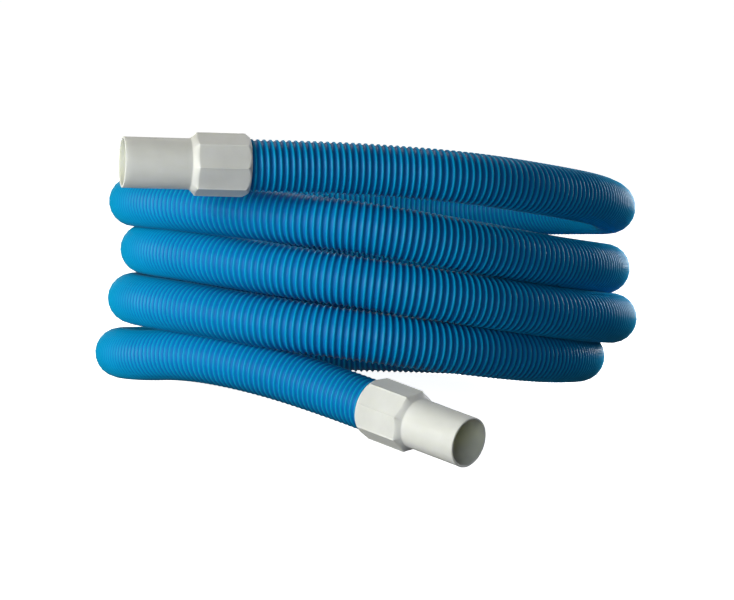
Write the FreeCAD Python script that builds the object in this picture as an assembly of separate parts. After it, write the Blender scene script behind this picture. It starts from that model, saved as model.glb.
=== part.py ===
import FreeCAD, Part
import math
import os

# Corrugated swimming-pool vacuum hose, 38 mm bore, lying in a loose coil of
# three and a half turns. Each end carries a moulded swivel cuff: an octagonal
# grip collar and a plain spigot that turn freely on a bushing screwed onto the
# hose. +Z is up, the coil lies on the plane Z = 0, lengths are millimetres.

# ---- hose ----
hose_od = 44.0            # over the crests of the corrugation
hose_wall = 3.0           # from the crests to the bore
rib_pitch = 5.3
rib_depth = 2.0

# ---- coil ----
coil_centre = (0.0, 52.0)
points_per_turn = 16
coil_steps = 57           # three and a half turns and a bit
# distance of the hose's line from the coil's centre, and its height, at every
# eighth of a turn from the right-hand side anticlockwise, top turn first
eighth_radius = [215.0, 214.0, 213.0, 209.0, 204.5, 211.0, 215.0, 213.0,
                 209.5, 212.0, 213.0, 203.0, 194.5, 205.0, 214.0, 216.0,
                 216.5, 215.0, 213.0, 209.0, 206.5, 211.0, 213.0, 200.0,
                 187.0, 199.0, 213.0, 218.0, 220.0, 198.0]
eighth_height = [176.0, 158.5, 151.0, 165.0, 183.5, 195.0, 183.5, 148.0,
                 123.0, 111.0, 108.0, 121.5, 141.5, 152.0, 137.0, 105.0,
                 79.0, 67.5, 65.0, 79.0, 98.0, 108.0, 92.0, 65.0,
                 45.5, 27.5, 22.0, 28.5, 49.0, 65.0]
coil_line_far = 214.0     # outermost place of the hose's line in the coil's outer shape
coil_line_spread = 8.0    # from there to the innermost
coil_round = 19.0         # rounding of its top edges
coil_line_top = 174.0     # height of the top turn's line over the centre
coil_top_slope = (-0.020, -0.055)
coil_foot_y = 150.0       # behind this line the lowest turn lies flat
coil_foot_slope = 0.19    # in front of it the lowest turn climbs

# ---- cuffs: axial distances run from the collar's rear face to the mouth ----
collar_flats = 8
collar_len = 43.6
collar_chamfer = 3.7
rear_rim = 0.5            # collar's wall at its rear edge
corner_wall = 3.2         # and at the corners of its flats
shoulder_len = 5.2
spigot_len = 55.5
spigot_wall = 1.7
bore_step = 0.3           # spigot's bore over the hose's bore, radial
mouth_chamfer = 0.5
shell_web = 2.2           # wall between the collar's bore and the shoulder

# ---- inside each cuff ----
hose_clear = 0.3          # radial gap, retaining ring to hose
ring_set = 0.6            # ring's depth below the rear face
ring_len = 2.0
run_clear = 0.08          # radial running gap, bushing in shell
end_clear = 0.3           # axial running gap, ring to bushing
bushing_wall = 0.97
bushing_web = 3.0         # stop that the hose's end butts against
seal_len = 2.2
seal_clear = 0.1          # axial gap on each side of the seal
seal_inner_step = 0.4     # seal's bore over the spigot's bore, radial
seal_outer_gap = 0.2
hose_end_clear = 0.05
hose_end_start = 1.0      # where the plain run ends inside the collar

# ---- where the cuffs lie: rear face, heading, rise and turn of the flats ----
upper_cuff_spot = (-98.0, -182.5)
upper_cuff_gap = 14.5     # from the coil's top over its centre up to the collar
upper_cuff_heading = 191.4
upper_cuff_rise = 2.6
upper_cuff_turn = -1.5
lower_cuff_spot = (6.0, -205.8)
lower_cuff_gap = 0.262    # under the edge of its mouth, the cuff's lowest point
lower_cuff_heading = -42.0
lower_cuff_rise = -10.2
lower_cuff_turn = 30.5

# un-coiled ends of the hose: a straight lead out of each cuff, then the points
# between that lead and the coil
upper_lead = 50.0
lower_lead = 54.0
upper_run_points = [
    (3.0, -162.5, 231.5),
    (83.5, -147.0, 223.5),
    (153.0, -101.5, 208.5),
    (200.5, -31.5, 193.0),
]
lower_run_points = [
    (-152.0, -86.0, 66.5),
    (-96.0, -127.5, 62.0),
]

OUT = "parts"
V = FreeCAD.Vector
os.makedirs(OUT, exist_ok=True)


def save(name, shape):
    solids = shape.Solids
    assert len(solids) == 1, (name, len(solids))
    solid = solids[0]
    assert solid.isValid(), name
    solid.exportStep(os.path.join(OUT, name + ".step"))
    print("%-26s volume %10.1f mm3" % (name, solid.Volume))


# ---------------------------------------------------------------- hose line
def smooth(values, t):
    """Value at t of a smooth line through evenly spaced values."""
    i = min(int(math.floor(t)), len(values) - 2)
    f = t - i
    p1, p2 = values[i], values[i + 1]
    p0 = values[i - 1] if i > 0 else 2 * p1 - p2
    p3 = values[i + 2] if i + 2 < len(values) else 2 * p2 - p1
    return p1 + 0.5 * f * (p2 - p0 + f * (2 * p0 - 5 * p1 + 4 * p2 - p3
                                          + f * (3 * (p1 - p2) + p3 - p0)))


def coil_points():
    step = 2 * math.pi / points_per_turn
    swell = 1.0 / (0.75 + 0.25 * math.cos(step))
    points = []
    for k in range(coil_steps + 1):
        e = 8.0 * k / points_per_turn
        r = smooth(eighth_radius, e) * swell
        points.append((coil_centre[0] + r * math.cos(k * step),
                       coil_centre[1] + r * math.sin(k * step),
                       smooth(eighth_height, e)))
    return points


def cord_wire(points):
    """Straight runs joined by tangent arcs, each as large as its runs allow."""
    pts = [V(*p) for p in points]
    edges, radii, start, length = [], [], pts[0], 0.0
    for a, b, c in zip(pts, pts[1:], pts[2:]):
        u, w = (a - b), (c - b)
        short = min(u.Length, w.Length)
        u.normalize()
        w.normalize()
        half = (math.pi - u.getAngle(w)) / 2
        cut = 0.45 * short
        radius = cut / math.tan(half)
        first, last = b + u * cut, b + w * cut
        inward = (u + w).normalize()
        mid = b + inward * (radius / math.cos(half) - radius)
        edges.append(Part.LineSegment(start, first).toShape())
        edges.append(Part.Arc(first, mid, last).toShape())
        length += (first - start).Length + radius * 2 * half
        radii.append(radius)
        start = last
    edges.append(Part.LineSegment(start, pts[-1]).toShape())
    length += (pts[-1] - start).Length
    return Part.Wire(edges), radii, length


def cord_tube(name, points):
    wire, radii, length = cord_wire(points)
    heading = V(*points[1]) - V(*points[0])
    rim = Part.Wire(Part.makeCircle(hose_od / 2, V(*points[0]), heading))
    tube = wire.makePipeShell([rim], True, False)
    section = math.pi * (hose_od / 2) ** 2
    print("%s: length %.1f, radii %s, volume over section x length %.4f" % (
        name, length, [round(r) for r in radii], tube.Volume / (section * length)))
    return tube


# ---------------------------------------------------------------- coil
coil_top_z = coil_line_top + hose_od / 2


def make_coil():
    cx, cy = coil_centre
    outer_r = coil_line_far + hose_od / 2
    inner_r = coil_line_far - coil_line_spread - hose_od / 2
    high = coil_top_z + outer_r * (abs(coil_top_slope[0]) + abs(coil_top_slope[1]))
    top = Part.makeCylinder(outer_r, high, V(cx, cy, 0))
    top = top.cut(Part.makeCylinder(inner_r, high, V(cx, cy, 0)))

    # everything above the sloping top comes off
    up = V(-coil_top_slope[0], -coil_top_slope[1], 1.0).normalize()
    reach = 4 * outer_r
    lid = Part.makeBox(reach, reach, reach, V(-reach / 2, -reach / 2, 0))
    lid.Placement = FreeCAD.Placement(V(cx, cy, coil_top_z),
                                      FreeCAD.Rotation(V(0, 0, 1), up))
    ring = top.cut(lid)
    rims = [e for e in ring.Edges if e.isClosed() and e.BoundBox.ZMin > coil_top_z / 2]
    ring = ring.makeFillet(coil_round, rims)

    # the front of the lowest turn climbs over the hose's lower end
    foot = cy + coil_foot_y
    front = cy - 2 * outer_r
    rise = coil_foot_slope * (foot - front)
    side = [V(-reach / 2, foot, 0), V(-reach / 2, front, 0), V(-reach / 2, front, rise)]
    wedge = Part.Face(Part.makePolygon(side + side[:1])).extrude(V(reach, 0, 0))
    return ring.cut(wedge)


# ---------------------------------------------------------------- cuffs
def place(shape, at, heading, rise, turn=0.0):
    """Stand a piece built along +X on its cuff's axis."""
    spin = FreeCAD.Rotation(V(1, 0, 0), turn)
    lift = FreeCAD.Rotation(V(0, 1, 0), -rise)
    yaw = FreeCAD.Rotation(V(0, 0, 1), heading)
    out = shape.copy()
    out.Placement = FreeCAD.Placement(V(*at), yaw.multiply(lift).multiply(spin))
    return out


def turned(profile):
    """Solid of revolution about X from (x, radius) corners."""
    pts = [V(x, 0, r) for x, r in profile]
    face = Part.Face(Part.makePolygon(pts + pts[:1]))
    return face.revolve(V(0, 0, 0), V(1, 0, 0), 360)


hose_bore = hose_od - 2 * hose_wall
bushing_r = hose_od / 2 + hose_end_clear + bushing_wall
shell_r = bushing_r + run_clear
rear_r = shell_r + rear_rim
corner_r = shell_r + corner_wall
bore_r = hose_bore / 2 + bore_step
spigot_r = bore_r + spigot_wall
shoulder_end = collar_len + shoulder_len
mouth_x = shoulder_end + spigot_len
web_x = collar_len - shell_web       # inside face of the shoulder's wall
bushing_x0 = ring_set + ring_len + end_clear
bushing_x1 = web_x - seal_len - 2 * seal_clear
hose_end_x = bushing_x1 - bushing_web

upper_cuff_at = (*upper_cuff_spot, coil_top_z + upper_cuff_gap + corner_r)
lower_slope = math.radians(lower_cuff_rise)
lower_cuff_at = (*lower_cuff_spot, lower_cuff_gap + spigot_r * math.cos(lower_slope)
                 - mouth_x * math.sin(lower_slope))


def make_shell():
    corner_angles = [2 * math.pi * k / collar_flats for k in range(collar_flats + 1)]

    def around(x, r, angle):
        return V(x, r * math.cos(angle), r * math.sin(angle))

    # grip collar: a prism whose rear edge is turned to a chamfer
    flats = Part.makePolygon([around(0, corner_r, a) for a in corner_angles])
    prism = Part.Face(flats).extrude(V(collar_len, 0, 0))
    collar = prism.common(turned([
        (0, 0), (0, rear_r), (collar_chamfer, corner_r),
        (collar_len, corner_r), (collar_len, 0)]))

    # shoulder: from the flats down to the round of the spigot
    front = Part.makePolygon([around(collar_len, corner_r, a) for a in corner_angles])
    arcs = [Part.Arc(around(shoulder_end, spigot_r, a), around(shoulder_end, spigot_r, (a + b) / 2),
                     around(shoulder_end, spigot_r, b)).toShape()
            for a, b in zip(corner_angles, corner_angles[1:])]
    shoulder = Part.makeLoft([front, Part.Wire(arcs)], True, True)

    spigot = turned([
        (shoulder_end, 0), (shoulder_end, spigot_r), (mouth_x - mouth_chamfer, spigot_r),
        (mouth_x, spigot_r - mouth_chamfer), (mouth_x, 0)])
    body = collar.fuse([shoulder, spigot])
    over = 1.0            # the bore is cut from beyond both end faces
    bore = turned([(-over, 0), (-over, shell_r), (web_x, shell_r), (web_x, bore_r),
                   (mouth_x - mouth_chamfer, bore_r),
                   (mouth_x + over, bore_r + mouth_chamfer + over), (mouth_x + over, 0)])
    return body.cut(bore)


def sleeve(x0, x1, r0, r1):
    return turned([(x0, r0), (x1, r0), (x1, r1), (x0, r1)])


def make_bushing():
    hose_r = hose_od / 2 + hose_end_clear
    return turned([
        (bushing_x0, hose_r), (hose_end_x, hose_r), (hose_end_x, hose_bore / 2),
        (bushing_x1, hose_bore / 2), (bushing_x1, bushing_r), (bushing_x0, bushing_r)])


def make_hose_end():
    """The last turns of corrugation, from inside the collar to the bushing's stop."""
    crest, root = hose_od / 2, hose_od / 2 - rib_depth
    ribs = int((hose_end_x - hose_end_start) / rib_pitch)
    flat = 0.25 * rib_pitch
    profile = [(hose_end_start, hose_bore / 2), (hose_end_start, crest)]
    x = hose_end_start + rib_pitch
    for k in range(ribs - 1):
        profile += [(x - flat, crest), (x, root), (x + flat, root), (x + 2 * flat, crest)]
        x += rib_pitch
    profile += [(hose_end_x, crest), (hose_end_x, hose_bore / 2)]
    return turned(profile)


cuff_pieces = {
    "cuff_shell": make_shell(),
    "cuff_retaining_ring": sleeve(ring_set, ring_set + ring_len,
                                  hose_od / 2 + hose_clear, shell_r),
    "cuff_bushing": make_bushing(),
    "cuff_seal": sleeve(bushing_x1 + seal_clear, web_x - seal_clear,
                        bore_r + seal_inner_step, shell_r - seal_outer_gap),
    "hose_end": make_hose_end(),
}
for side, at, heading, rise, turn in (
        ("upper", upper_cuff_at, upper_cuff_heading, upper_cuff_rise, upper_cuff_turn),
        ("lower", lower_cuff_at, lower_cuff_heading, lower_cuff_rise, lower_cuff_turn)):
    for name, piece in cuff_pieces.items():
        save(side + "_" + name, place(piece, at, heading, rise, turn))


def along(at, heading, rise, x):
    h, r = math.radians(heading), math.radians(rise)
    return (at[0] + x * math.cos(h) * math.cos(r), at[1] + x * math.sin(h) * math.cos(r),
            at[2] + x * math.sin(r))


# the hose leaves each cuff straight along its axis
upper_route = [along(upper_cuff_at, upper_cuff_heading, upper_cuff_rise, x)
               for x in (hose_end_start, -upper_lead)] + upper_run_points
lower_route = lower_run_points + [
    along(lower_cuff_at, lower_cuff_heading, lower_cuff_rise, x)
    for x in (-lower_lead, hose_end_start)]

save("hose_coil", make_coil())
save("hose_upper_run", cord_tube("upper run", upper_route))
save("hose_lower_run", cord_tube("lower run", lower_route))

turns = coil_points()
coil_len = sum((V(*b) - V(*a)).Length for a, b in zip(turns, turns[1:]))
print("coil points %d, coil length %.0f mm" % (len(turns), coil_len))
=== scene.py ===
import math

import bmesh
import bpy
from mathutils import Matrix, Vector


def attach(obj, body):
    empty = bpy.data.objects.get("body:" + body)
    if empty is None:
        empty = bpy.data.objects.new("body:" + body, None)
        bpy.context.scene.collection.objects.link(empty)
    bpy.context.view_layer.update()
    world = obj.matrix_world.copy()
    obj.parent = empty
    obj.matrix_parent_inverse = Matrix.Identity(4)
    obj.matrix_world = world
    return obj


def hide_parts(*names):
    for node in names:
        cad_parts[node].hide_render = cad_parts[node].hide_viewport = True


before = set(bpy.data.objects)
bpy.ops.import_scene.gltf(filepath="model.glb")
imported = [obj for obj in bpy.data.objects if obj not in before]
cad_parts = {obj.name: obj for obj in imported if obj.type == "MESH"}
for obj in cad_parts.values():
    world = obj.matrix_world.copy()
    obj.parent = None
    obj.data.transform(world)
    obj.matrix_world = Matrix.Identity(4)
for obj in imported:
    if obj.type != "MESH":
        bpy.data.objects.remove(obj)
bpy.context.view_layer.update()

# ---- hose, in metres ----
HOSE_BORE_R = 0.019
CREST_R = 0.022
GROOVE_R = 0.0205
RIB_PITCH = 0.0053
# one corrugation: share of the pitch, height between groove (0) and crest (1)
RIB = [(0.0, 0.0), (0.22, 0.06), (0.37, 0.72), (0.50, 1.0), (0.63, 0.72), (0.78, 0.06)]
CUT_HEIGHT = 0.5          # the same height where the hose is cut off
SPARE_RIBS = 4            # laid out past the two cut ends, half at each
SIDES = 22                # faces round the hose
INNER_STEP = 0.028        # from ring to ring of its bore
MERGE = 2e-6              # vertices this close at the cut ends become one

# ---- cuffs, in metres; X runs from the collar's rear face to the mouth ----
COLLAR_FLATS = 8
CORNER_R = 0.0263
COLLAR_REAR_R = 0.0236
COLLAR_CHAMFER = 0.0037
COLLAR_LEN = 0.0436
SHOULDER_LEN = 0.0052
SPIGOT_R = 0.021
SPIGOT_BORE_R = 0.0193
CUFF_LEN = 0.1043
SHELL_BORE_R = 0.0231
WEB_X = 0.0414            # inside face of the wall behind the shoulder
WEB_EDGE = 3e-4           # chamfer of that wall's two edges
LIP = 0.0006              # depth of the rounded lip at the mouth
LIP_STEPS = 8
EDGE_ROUND = 0.0005       # half width of the rounding where two surfaces meet
ROUND_STEPS = 4           # samples to each side that the rounding averages
BEAD = 0.00035            # fine bead along each corner of the flats
BEAD_WIDTH = 0.0006
# where along X the mesh's plain stretches start and end
CHAMFER_FROM = 1.5e-3
FLATS_FROM, FLATS_TO = 0.006, 0.040
SHOULDER_MARGIN = 1.2e-3
SPIGOT_FROM = 0.052

# ---- where the hose lies, in millimetres unless it says otherwise ----
MM = 0.001
COIL_CENTRE = (0.0, 0.052)                  # metres
POINTS_PER_TURN = 16
EIGHTHS = 8               # the two lists below go by eighths of a turn, top turn first
COIL_STEPS = 57           # three and a half turns and a bit
EIGHTH_RADIUS = [215.0, 214.0, 213.0, 209.0, 204.5, 211.0, 215.0, 213.0,
                 209.5, 212.0, 213.0, 203.0, 194.5, 205.0, 214.0, 216.0,
                 216.5, 215.0, 213.0, 209.0, 206.5, 211.0, 213.0, 200.0,
                 187.0, 199.0, 213.0, 218.0, 220.0, 198.0]
EIGHTH_HEIGHT = [176.0, 158.5, 151.0, 165.0, 183.5, 195.0, 183.5, 148.0,
                 123.0, 111.0, 108.0, 121.5, 141.5, 152.0, 137.0, 105.0,
                 79.0, 67.5, 65.0, 79.0, 98.0, 108.0, 92.0, 65.0,
                 45.5, 27.5, 22.0, 28.5, 49.0, 65.0]
# the points of the two ends between the coil and each cuff's straight lead, in metres
UPPER_RUN = [(0.0030, -0.1625, 0.2315), (0.0835, -0.1470, 0.2235),
             (0.1530, -0.1015, 0.2085), (0.2005, -0.0315, 0.1930)]
LOWER_RUN = [(-0.1520, -0.0860, 0.0665), (-0.0960, -0.1275, 0.0620)]
HOSE_START = 0.001        # the hose's line starts and ends this far inside a collar
UPPER_LEAD = 0.050
LOWER_LEAD = 0.054
CURVE_STEPS = 24          # points read from each span of the spline
# each cuff's rear face in metres, and its heading, rise and turn of the flats in degrees
CUFFS = {
    "upper": ((-0.0980, -0.1825, 0.2368), 191.4, 2.6, -1.5),
    "lower": ((0.0060, -0.2058, 0.0394), -42.0, -10.2, 30.5),
}


# ---------------------------------------------------------------- materials
def material(name):
    mat = bpy.data.materials.new(name)
    mat.use_nodes = True
    nodes, links = mat.node_tree.nodes, mat.node_tree.links
    return mat, nodes, links, nodes["Principled BSDF"]


def noise(nodes, links, scale):
    tex = nodes.new("ShaderNodeTexNoise")
    tex.inputs["Scale"].default_value = scale
    tex.inputs["Detail"].default_value = 3.0
    where = nodes.new("ShaderNodeTexCoord")
    links.new(where.outputs["Object"], tex.inputs["Vector"])
    return tex.outputs["Fac"]


def set_values(bsdf, values):
    for socket, value in values.items():
        bsdf.inputs[socket].default_value = value


def ramp(nodes, links, fac, stops):
    node = nodes.new("ShaderNodeValToRGB")
    cr = node.color_ramp
    while len(cr.elements) < len(stops):
        cr.elements.new(0.5)
    for element, (at, colour) in zip(cr.elements, stops):
        element.position = at
        element.color = (*colour, 1.0)
    links.new(fac, node.inputs["Fac"])
    return node.outputs["Color"]


def value_range(nodes, links, fac, low, high):
    node = nodes.new("ShaderNodeMapRange")
    node.inputs["To Min"].default_value = low
    node.inputs["To Max"].default_value = high
    links.new(fac, node.inputs["Value"])
    return node.outputs["Result"]


def bump(nodes, links, bsdf, height, strength, distance):
    node = nodes.new("ShaderNodeBump")
    node.inputs["Strength"].default_value = strength
    node.inputs["Distance"].default_value = distance
    links.new(height, node.inputs["Height"])
    links.new(node.outputs["Normal"], bsdf.inputs["Normal"])


def hose_blue():
    """Satin blue plastic, faintly blotched; painted shade makes it darker down in the grooves,
    and the crests are painted lighter.
    """
    mat, nodes, links, bsdf = material("hose_blue")
    crest = nodes.new("ShaderNodeAttribute")
    crest.attribute_name = "crest"
    # painted shade: the blue runs from dark in the grooves, where shade falls, to light on the
    # crests by the rib's height; the plain bore gets the groove's dark colour too
    groove_shaded_blue = ramp(nodes, links, crest.outputs["Fac"],
                [(0.0, (0.003, 0.12, 0.36)), (0.55, (0.0008, 0.20, 0.43)),
                 (1.0, (0.001, 0.265, 0.47))])
    blotch = nodes.new("ShaderNodeMix")
    blotch.data_type = "RGBA"
    blotch.blend_type = "MULTIPLY"
    blotch.inputs["Factor"].default_value = 0.35
    links.new(groove_shaded_blue, blotch.inputs["A"])
    links.new(ramp(nodes, links, noise(nodes, links, scale=26.0),
                   [(0.3, (0.72, 0.78, 0.82)), (0.7, (1.0, 1.0, 1.0))]),
              blotch.inputs["B"])
    links.new(blotch.outputs["Result"], bsdf.inputs["Base Color"])
    links.new(value_range(nodes, links, noise(nodes, links, scale=90.0), low=0.30, high=0.40),
              bsdf.inputs["Roughness"])
    set_values(bsdf, {"IOR": 1.5, "Specular IOR Level": 0.06,
                      "Sheen Weight": 0.04, "Sheen Roughness": 0.25})
    bump(nodes, links, bsdf, noise(nodes, links, scale=700.0), strength=0.12, distance=0.0004)
    return mat


def cuff_white(name, low, high, rough=(0.44, 0.56)):
    """Moulded grey-white plastic: uneven, with a fine satin grain and some light in it."""
    mat, nodes, links, bsdf = material(name)
    links.new(ramp(nodes, links, noise(nodes, links, scale=38.0), [(0.3, low), (0.7, high)]),
              bsdf.inputs["Base Color"])
    links.new(value_range(nodes, links, noise(nodes, links, scale=160.0), *rough),
              bsdf.inputs["Roughness"])
    set_values(bsdf, {"IOR": 1.49, "Specular IOR Level": 0.25, "Subsurface Weight": 0.6,
                      "Subsurface Radius": (1.0, 1.0, 0.8), "Subsurface Scale": 0.003})
    bump(nodes, links, bsdf, noise(nodes, links, scale=1100.0), strength=0.10, distance=0.0002)
    return mat


def seal_black():
    """Matt black rubber."""
    mat, nodes, links, bsdf = material("seal_black")
    links.new(ramp(nodes, links, noise(nodes, links, scale=120.0),
                   [(0.3, (0.012, 0.012, 0.013)), (0.7, (0.03, 0.03, 0.032))]),
              bsdf.inputs["Base Color"])
    links.new(value_range(nodes, links, noise(nodes, links, scale=200.0), low=0.6, high=0.8),
              bsdf.inputs["Roughness"])
    bump(nodes, links, bsdf, noise(nodes, links, scale=900.0), strength=0.2, distance=0.0003)
    return mat


def studio_floor():
    """Pale floor that glows a little, as a lit table does, so shadows stay soft."""
    mat, nodes, links, bsdf = material("studio_floor")
    links.new(ramp(nodes, links, noise(nodes, links, scale=3.0),
                   [(0.3, (0.90, 0.90, 0.90)), (0.7, (0.92, 0.92, 0.92))]),
              bsdf.inputs["Base Color"])
    set_values(bsdf, {"Roughness": 0.9, "Specular IOR Level": 0.0,
                      "Emission Color": (1.0, 1.0, 1.0, 1.0), "Emission Strength": 0.92})
    return mat


BLUE = hose_blue()
WHITE = cuff_white("cuff_white", (0.56, 0.56, 0.54), (0.62, 0.62, 0.60))
# the bore's copy of the white plastic, given an olive cast that paints the colour of the
# shaded inside of the mouth
INSIDE_SHADED = cuff_white("cuff_inside_shaded", (0.58, 0.585, 0.515), (0.64, 0.645, 0.575), (0.5, 0.62))
INNER = cuff_white("bushing_white", (0.55, 0.55, 0.51), (0.62, 0.62, 0.58))
SEAL = seal_black()
FLOOR = studio_floor()


# ---------------------------------------------------------------- hose
def cuff_matrix(side):
    """Places a cuff that is built along +X from the origin."""
    at, heading, rise, turn = CUFFS[side]
    return (Matrix.Translation(at) @ Matrix.Rotation(math.radians(heading), 4, "Z")
            @ Matrix.Rotation(math.radians(-rise), 4, "Y")
            @ Matrix.Rotation(math.radians(turn), 4, "X"))


def on_axis(side, x):
    """The point of a cuff's axis at x."""
    return tuple(cuff_matrix(side) @ Vector((x, 0, 0)))


def smooth(values, t):
    """Value at t of a smooth line through evenly spaced values."""
    i = min(int(math.floor(t)), len(values) - 2)
    f = t - i
    p1, p2 = values[i], values[i + 1]
    p0 = values[i - 1] if i > 0 else 2 * p1 - p2
    p3 = values[i + 2] if i + 2 < len(values) else 2 * p2 - p1
    return p1 + 0.5 * f * (p2 - p0 + f * (2 * p0 - 5 * p1 + 4 * p2 - p3
                                          + f * (3 * (p1 - p2) + p3 - p0)))


def coil_points():
    """Points of the coil, set out a little because the spline cuts inside them."""
    step = 2 * math.pi / POINTS_PER_TURN
    swell = MM / (0.75 + 0.25 * math.cos(step))
    points = []
    for k in range(COIL_STEPS + 1):
        e = EIGHTHS * k / POINTS_PER_TURN
        r = smooth(EIGHTH_RADIUS, e) * swell
        points.append((COIL_CENTRE[0] + r * math.cos(k * step),
                       COIL_CENTRE[1] + r * math.sin(k * step),
                       smooth(EIGHTH_HEIGHT, e) * MM))
    return points


def hose_line():
    """Points along the hose's line, read from one smooth spline."""
    route = [on_axis("upper", HOSE_START), on_axis("upper", -UPPER_LEAD)]
    route += UPPER_RUN + coil_points() + LOWER_RUN
    route += [on_axis("lower", -LOWER_LEAD), on_axis("lower", HOSE_START)]
    curve = bpy.data.curves.new("hose_route", "CURVE")
    curve.dimensions = "3D"
    curve.resolution_u = CURVE_STEPS
    spline = curve.splines.new("NURBS")
    spline.points.add(len(route) - 1)
    for point, co in zip(spline.points, route):
        point.co = (*co, 1.0)
    spline.order_u = 3
    spline.use_endpoint_u = True
    holder = bpy.data.objects.new("hose_route", curve)
    mesh = bpy.data.meshes.new_from_object(holder)
    line = [v.co.copy() for v in mesh.vertices]
    bpy.data.objects.remove(holder)
    bpy.data.meshes.remove(mesh)
    return line


class Line:
    """Arc length, position and a twist-free frame along a polyline."""

    def __init__(self, points):
        self.points = points
        self.at = [0.0]
        for a, b in zip(points, points[1:]):
            self.at.append(self.at[-1] + (b - a).length)
        self.length = self.at[-1]
        tangents = []
        for i in range(len(points)):
            a, b = points[max(i - 1, 0)], points[min(i + 1, len(points) - 1)]
            tangents.append((b - a).normalized())
        side = tangents[0].orthogonal().normalized()
        self.frames = []
        for i, t in enumerate(tangents):
            if i:
                side = tangents[i - 1].rotation_difference(t) @ side
                side = (side - t * side.dot(t)).normalized()
            self.frames.append((side.copy(), t.cross(side)))
        self.i = 0                # the stretch that was last asked for

    def place(self, s):
        """Centre and the two directions across the line at arc length s."""
        s = min(max(s, 0.0), self.length)
        while self.i > 0 and self.at[self.i] > s:
            self.i -= 1
        while self.i < len(self.at) - 2 and self.at[self.i + 1] < s:
            self.i += 1
        i = self.i
        f = (s - self.at[i]) / (self.at[i + 1] - self.at[i])
        centre = self.points[i].lerp(self.points[i + 1], f)
        (a0, b0), (a1, b1) = self.frames[i], self.frames[i + 1]
        return centre, a0.lerp(a1, f).normalized(), b0.lerp(b1, f).normalized()


def hose_mesh(line):
    """Helical corrugation outside, plain bore inside, closed at both ends."""
    rows = int(line.length / RIB_PITCH) + SPARE_RIBS
    verts, crest = [], []
    per = len(RIB)

    def vertex(index, j):
        # column SIDES of one row is column 0 a whole rib further on
        if j == SIDES:
            index, j = index + per, 0
        return index * SIDES + j

    total = rows * per
    for index in range(total + per):
        share, height = RIB[index % per]
        for j in range(SIDES):
            s = (index // per + share + j / SIDES - SPARE_RIBS / 2) * RIB_PITCH
            inside = 0.0 < s < line.length
            h = height if inside else CUT_HEIGHT
            centre, a, b = line.place(s)
            angle = 2 * math.pi * j / SIDES
            r = GROOVE_R + (CREST_R - GROOVE_R) * h
            verts.append(centre + (a * math.cos(angle) + b * math.sin(angle)) * r)
            crest.append(h)
    faces = []
    for index in range(total - 1):
        for j in range(SIDES):
            faces.append((vertex(index, j), vertex(index + 1, j),
                          vertex(index + 1, j + 1), vertex(index, j + 1)))
    outer = len(verts)
    rings = int(line.length / INNER_STEP)
    for k in range(rings + 1):
        centre, a, b = line.place(line.length * k / rings)
        for j in range(SIDES):
            angle = 2 * math.pi * j / SIDES
            verts.append(centre + (a * math.cos(angle) + b * math.sin(angle)) * HOSE_BORE_R)
            crest.append(0.0)
    for k in range(rings):
        for j in range(SIDES):
            n = (j + 1) % SIDES
            base = outer + k * SIDES
            faces.append((base + j, base + n, base + SIDES + n, base + SIDES + j))
    for index, ring in ((0, 0), (total - 1, rings)):          # the two cut ends
        for j in range(SIDES):
            base = outer + ring * SIDES
            faces.append((vertex(index, j), vertex(index, j + 1),
                          base + (j + 1) % SIDES, base + j))
    mesh = bpy.data.meshes.new("corrugated_hose")
    mesh.from_pydata([tuple(v) for v in verts], [], faces)
    # the rib's height, which the hose's material turns into painted shade in the grooves
    layer = mesh.attributes.new("crest", "FLOAT", "POINT")
    layer.data.foreach_set("value", crest)
    bm = bmesh.new()
    bm.from_mesh(mesh)
    bmesh.ops.remove_doubles(bm, verts=bm.verts, dist=MERGE)
    bmesh.ops.recalc_face_normals(bm, faces=bm.faces)
    for face in bm.faces:
        face.smooth = True
    bm.to_mesh(mesh)
    bm.free()
    return mesh


line = Line(hose_line())
hose = bpy.data.objects.new("corrugated_hose", hose_mesh(line))
bpy.context.scene.collection.objects.link(hose)
hose.data.materials.append(BLUE)
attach(hose, "hose")
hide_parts("hose_coil", "hose_upper_run", "hose_lower_run")


# ---------------------------------------------------------------- cuffs
SECTOR = 2 * math.pi / COLLAR_FLATS
# share of a flat's angle at which the mesh has a line; close together at its corners
CORNER_STEPS = [0.0, 0.015, 0.03, 0.05, 0.09, 0.18, 0.34, 0.5,
                0.66, 0.82, 0.91, 0.95, 0.97, 0.985]
ANGLES = [SECTOR * (k + f) for k in range(COLLAR_FLATS) for f in CORNER_STEPS]
SHOULDER_END = COLLAR_LEN + SHOULDER_LEN
SHOULDER_R = CORNER_R * (1 + math.cos(SECTOR / 2)) / 2     # between the corners and the flats


def flats_r(angle):
    """Radius of the flats, with the fine bead that runs along each corner."""
    across = (angle % SECTOR) - SECTOR / 2
    corner = (SECTOR / 2 - abs(across)) * CORNER_R / BEAD_WIDTH
    sunk = CORNER_R - BEAD
    return sunk * math.cos(SECTOR / 2) / math.cos(across) + BEAD * math.exp(-corner ** 2)


def sharp_r(x, angle):
    """Outside of the cuff before its edges are rounded."""
    flat = flats_r(angle)
    if x < COLLAR_LEN:
        rear = COLLAR_REAR_R + (CORNER_R - COLLAR_REAR_R) * max(x, 0.0) / COLLAR_CHAMFER
        return min(flat, rear)
    t = min((x - COLLAR_LEN) / SHOULDER_LEN, 1.0)
    return SHOULDER_R + (SPIGOT_R - SHOULDER_R) * t + (flat - SHOULDER_R) * (1.0 - t) ** 3


def outside_r(x, angle):
    """The same, averaged along the axis, which rounds each edge."""
    if x > SHOULDER_END + EDGE_ROUND:
        return SPIGOT_R
    samples = range(-ROUND_STEPS, ROUND_STEPS + 1)
    total = sum(sharp_r(x + EDGE_ROUND * k / ROUND_STEPS, angle) for k in samples)
    return total / len(samples)


def spaced(start, end, steps):
    return [start + (end - start) * k / steps for k in range(steps + 1)]


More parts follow.
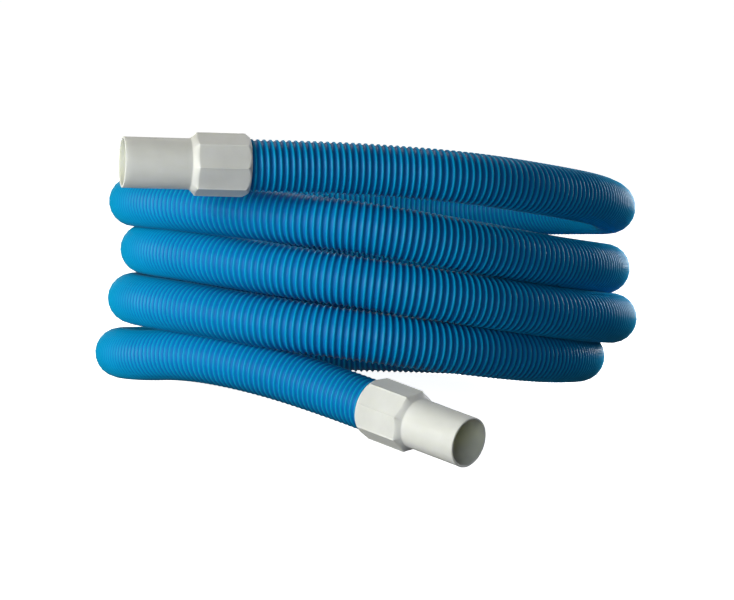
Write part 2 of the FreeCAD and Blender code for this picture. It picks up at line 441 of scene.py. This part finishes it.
def stations():
    """Where along the axis the outside has a ring, closer where it turns."""
    r = EDGE_ROUND
    xs = spaced(0.0, 2 * r, 4) + spaced(CHAMFER_FROM, COLLAR_CHAMFER + r, 12)
    xs += spaced(FLATS_FROM, FLATS_TO, 8) + spaced(COLLAR_LEN - r, COLLAR_LEN + r, 6)
    xs += spaced(COLLAR_LEN + SHOULDER_MARGIN, SHOULDER_END - SHOULDER_MARGIN, 4)
    xs += spaced(SHOULDER_END - r, SHOULDER_END + r, 6)
    return xs + spaced(SPIGOT_FROM, CUFF_LEN - LIP, 9)


def cuff_mesh(side):
    """Rings from the rear edge over the outside, round the lip and back through the bore."""
    n = len(ANGLES)
    rings = [[(x, outside_r(x, a)) for a in ANGLES] for x in stations()]
    wall = SPIGOT_R - SPIGOT_BORE_R
    for t in spaced(0.0, math.pi, LIP_STEPS)[1:]:
        rings.append([(CUFF_LEN - LIP + LIP * math.sin(t),
                       SPIGOT_BORE_R + wall * (0.5 + 0.5 * math.cos(t)))] * n)
    lip_end = len(rings) - 1
    inside = [(x, SPIGOT_BORE_R) for x in spaced(CUFF_LEN - LIP, WEB_X + WEB_EDGE, 8)[1:]]
    inside += [(WEB_X, SPIGOT_BORE_R + WEB_EDGE), (WEB_X, SHELL_BORE_R - WEB_EDGE)]
    inside += [(x, SHELL_BORE_R) for x in spaced(WEB_X - WEB_EDGE, 0.0, 5)]
    rings += [[p] * n for p in inside]
    where = cuff_matrix(side)
    bm = bmesh.new()
    grid = [[bm.verts.new(where @ Vector((x, r * math.cos(a), r * math.sin(a))))
             for a, (x, r) in zip(ANGLES, ring)] for ring in rings]
    for i, below in enumerate(grid):
        above = grid[(i + 1) % len(grid)]
        for j in range(n):
            k = (j + 1) % n
            face = bm.faces.new((below[j], above[j], above[k], below[k]))
            face.smooth = True
            # faces from the lip inward take the inside copy, with its painted olive shade
            face.material_index = 1 if i >= lip_end else 0
    bmesh.ops.recalc_face_normals(bm, faces=bm.faces)
    mesh = bpy.data.meshes.new(side + "_cuff")
    bm.to_mesh(mesh)
    bm.free()
    mesh.materials.append(WHITE)
    mesh.materials.append(INSIDE_SHADED)
    return mesh


for side in CUFFS:
    cuff = bpy.data.objects.new(side + "_cuff", cuff_mesh(side))
    bpy.context.scene.collection.objects.link(cuff)
    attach(cuff, side + "_cuff")
    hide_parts(side + "_cuff_shell")

# CAD's own pieces inside the cuffs
KEPT = {"hose_end": BLUE, "cuff_bushing": INNER, "cuff_seal": SEAL,
        "cuff_retaining_ring": INNER}
for side in CUFFS:
    for part, mat in KEPT.items():
        node = bpy.data.objects[side + "_" + part]
        node.data.materials.clear()
        node.data.materials.append(mat)


# ---------------------------------------------------------------- studio
FLOOR_RADIUS = 25.0
WORLD_STRENGTH = 0.10
# each lamp's name, place, aim, width and height in metres, watts and colour
LAMPS = [
    ("key", (-1.95, -1.40, 0.80), (0.0, 0.0, 0.12), (0.6, 1.2), 60.0, (1.0, 0.985, 0.86)),
    ("fill", (-0.4, -2.3, 0.5), (0.0, 0.0, 0.12), (1.2, 0.8), 11.0, (0.88, 0.98, 1.14)),
    ("table", (-0.60, -0.55, 0.04), (-0.1, -0.12, 0.26), (0.6, 0.25), 2.2, (0.90, 0.99, 1.04)),
    ("rim", (0.85, 0.50, 0.30), (0.18, 0.05, 0.13), (0.3, 0.5), 13.0, (1.0, 1.0, 1.0)),
    ("top", (0.4, 1.1, 1.35), (0.0, 0.05, 0.12), (1.2, 0.6), 9.0, (1.0, 1.0, 1.0)),
    ("back", (-1.1, 2.1, 0.8), (0.0, 0.05, 0.12), (1.2, 0.8), 7.0, (1.0, 1.0, 1.0)),
]
# the camera looks this far down, at this point, from this far away
CAMERA_PITCH = math.radians(7.25)
CAMERA_AIM = Vector((0.0, COIL_CENTRE[1], 0.0954))
CAMERA_DISTANCE = 3.54
CAMERA_LENS = 196.2       # mm, on a sensor of 36 mm
CAMERA_SENSOR = 36.0
CAMERA_REACH = 50.0


def pale_floor(radius):
    bm = bmesh.new()
    bmesh.ops.create_circle(bm, cap_ends=True, segments=96, radius=radius)
    mesh = bpy.data.meshes.new("floor")
    bm.to_mesh(mesh)
    bm.free()
    mesh.materials.append(FLOOR)
    floor = bpy.data.objects.new("floor", mesh)
    bpy.context.scene.collection.objects.link(floor)
    floor.visible_diffuse = False
    floor.visible_glossy = False


def area_light(name, at, target, size, energy, colour):
    lamp = bpy.data.lights.new(name, "AREA")
    lamp.shape = "RECTANGLE"
    lamp.size, lamp.size_y = size
    lamp.energy = energy
    lamp.color = colour
    obj = bpy.data.objects.new(name, lamp)
    obj.location = at
    obj.rotation_euler = (Vector(target) - Vector(at)).to_track_quat("-Z", "Y").to_euler()
    obj.visible_camera = False
    bpy.context.scene.collection.objects.link(obj)


pale_floor(FLOOR_RADIUS)
for lamp in LAMPS:
    area_light(*lamp)

world = bpy.data.worlds.new("studio")
bpy.context.scene.world = world
world.use_nodes = True
background = world.node_tree.nodes["Background"]
background.inputs["Color"].default_value = (1.0, 1.0, 1.0, 1.0)
background.inputs["Strength"].default_value = WORLD_STRENGTH
bpy.context.scene.view_settings.view_transform = "Standard"

ahead = Vector((0.0, math.cos(CAMERA_PITCH), -math.sin(CAMERA_PITCH)))
lens = bpy.data.cameras.new("camera")
lens.sensor_width = CAMERA_SENSOR
lens.lens = CAMERA_LENS
lens.clip_end = CAMERA_REACH
camera = bpy.data.objects.new("camera", lens)
camera.location = CAMERA_AIM - ahead * CAMERA_DISTANCE
camera.rotation_euler = ahead.to_track_quat("-Z", "Y").to_euler()
bpy.context.scene.collection.objects.link(camera)
bpy.context.scene.camera = camera
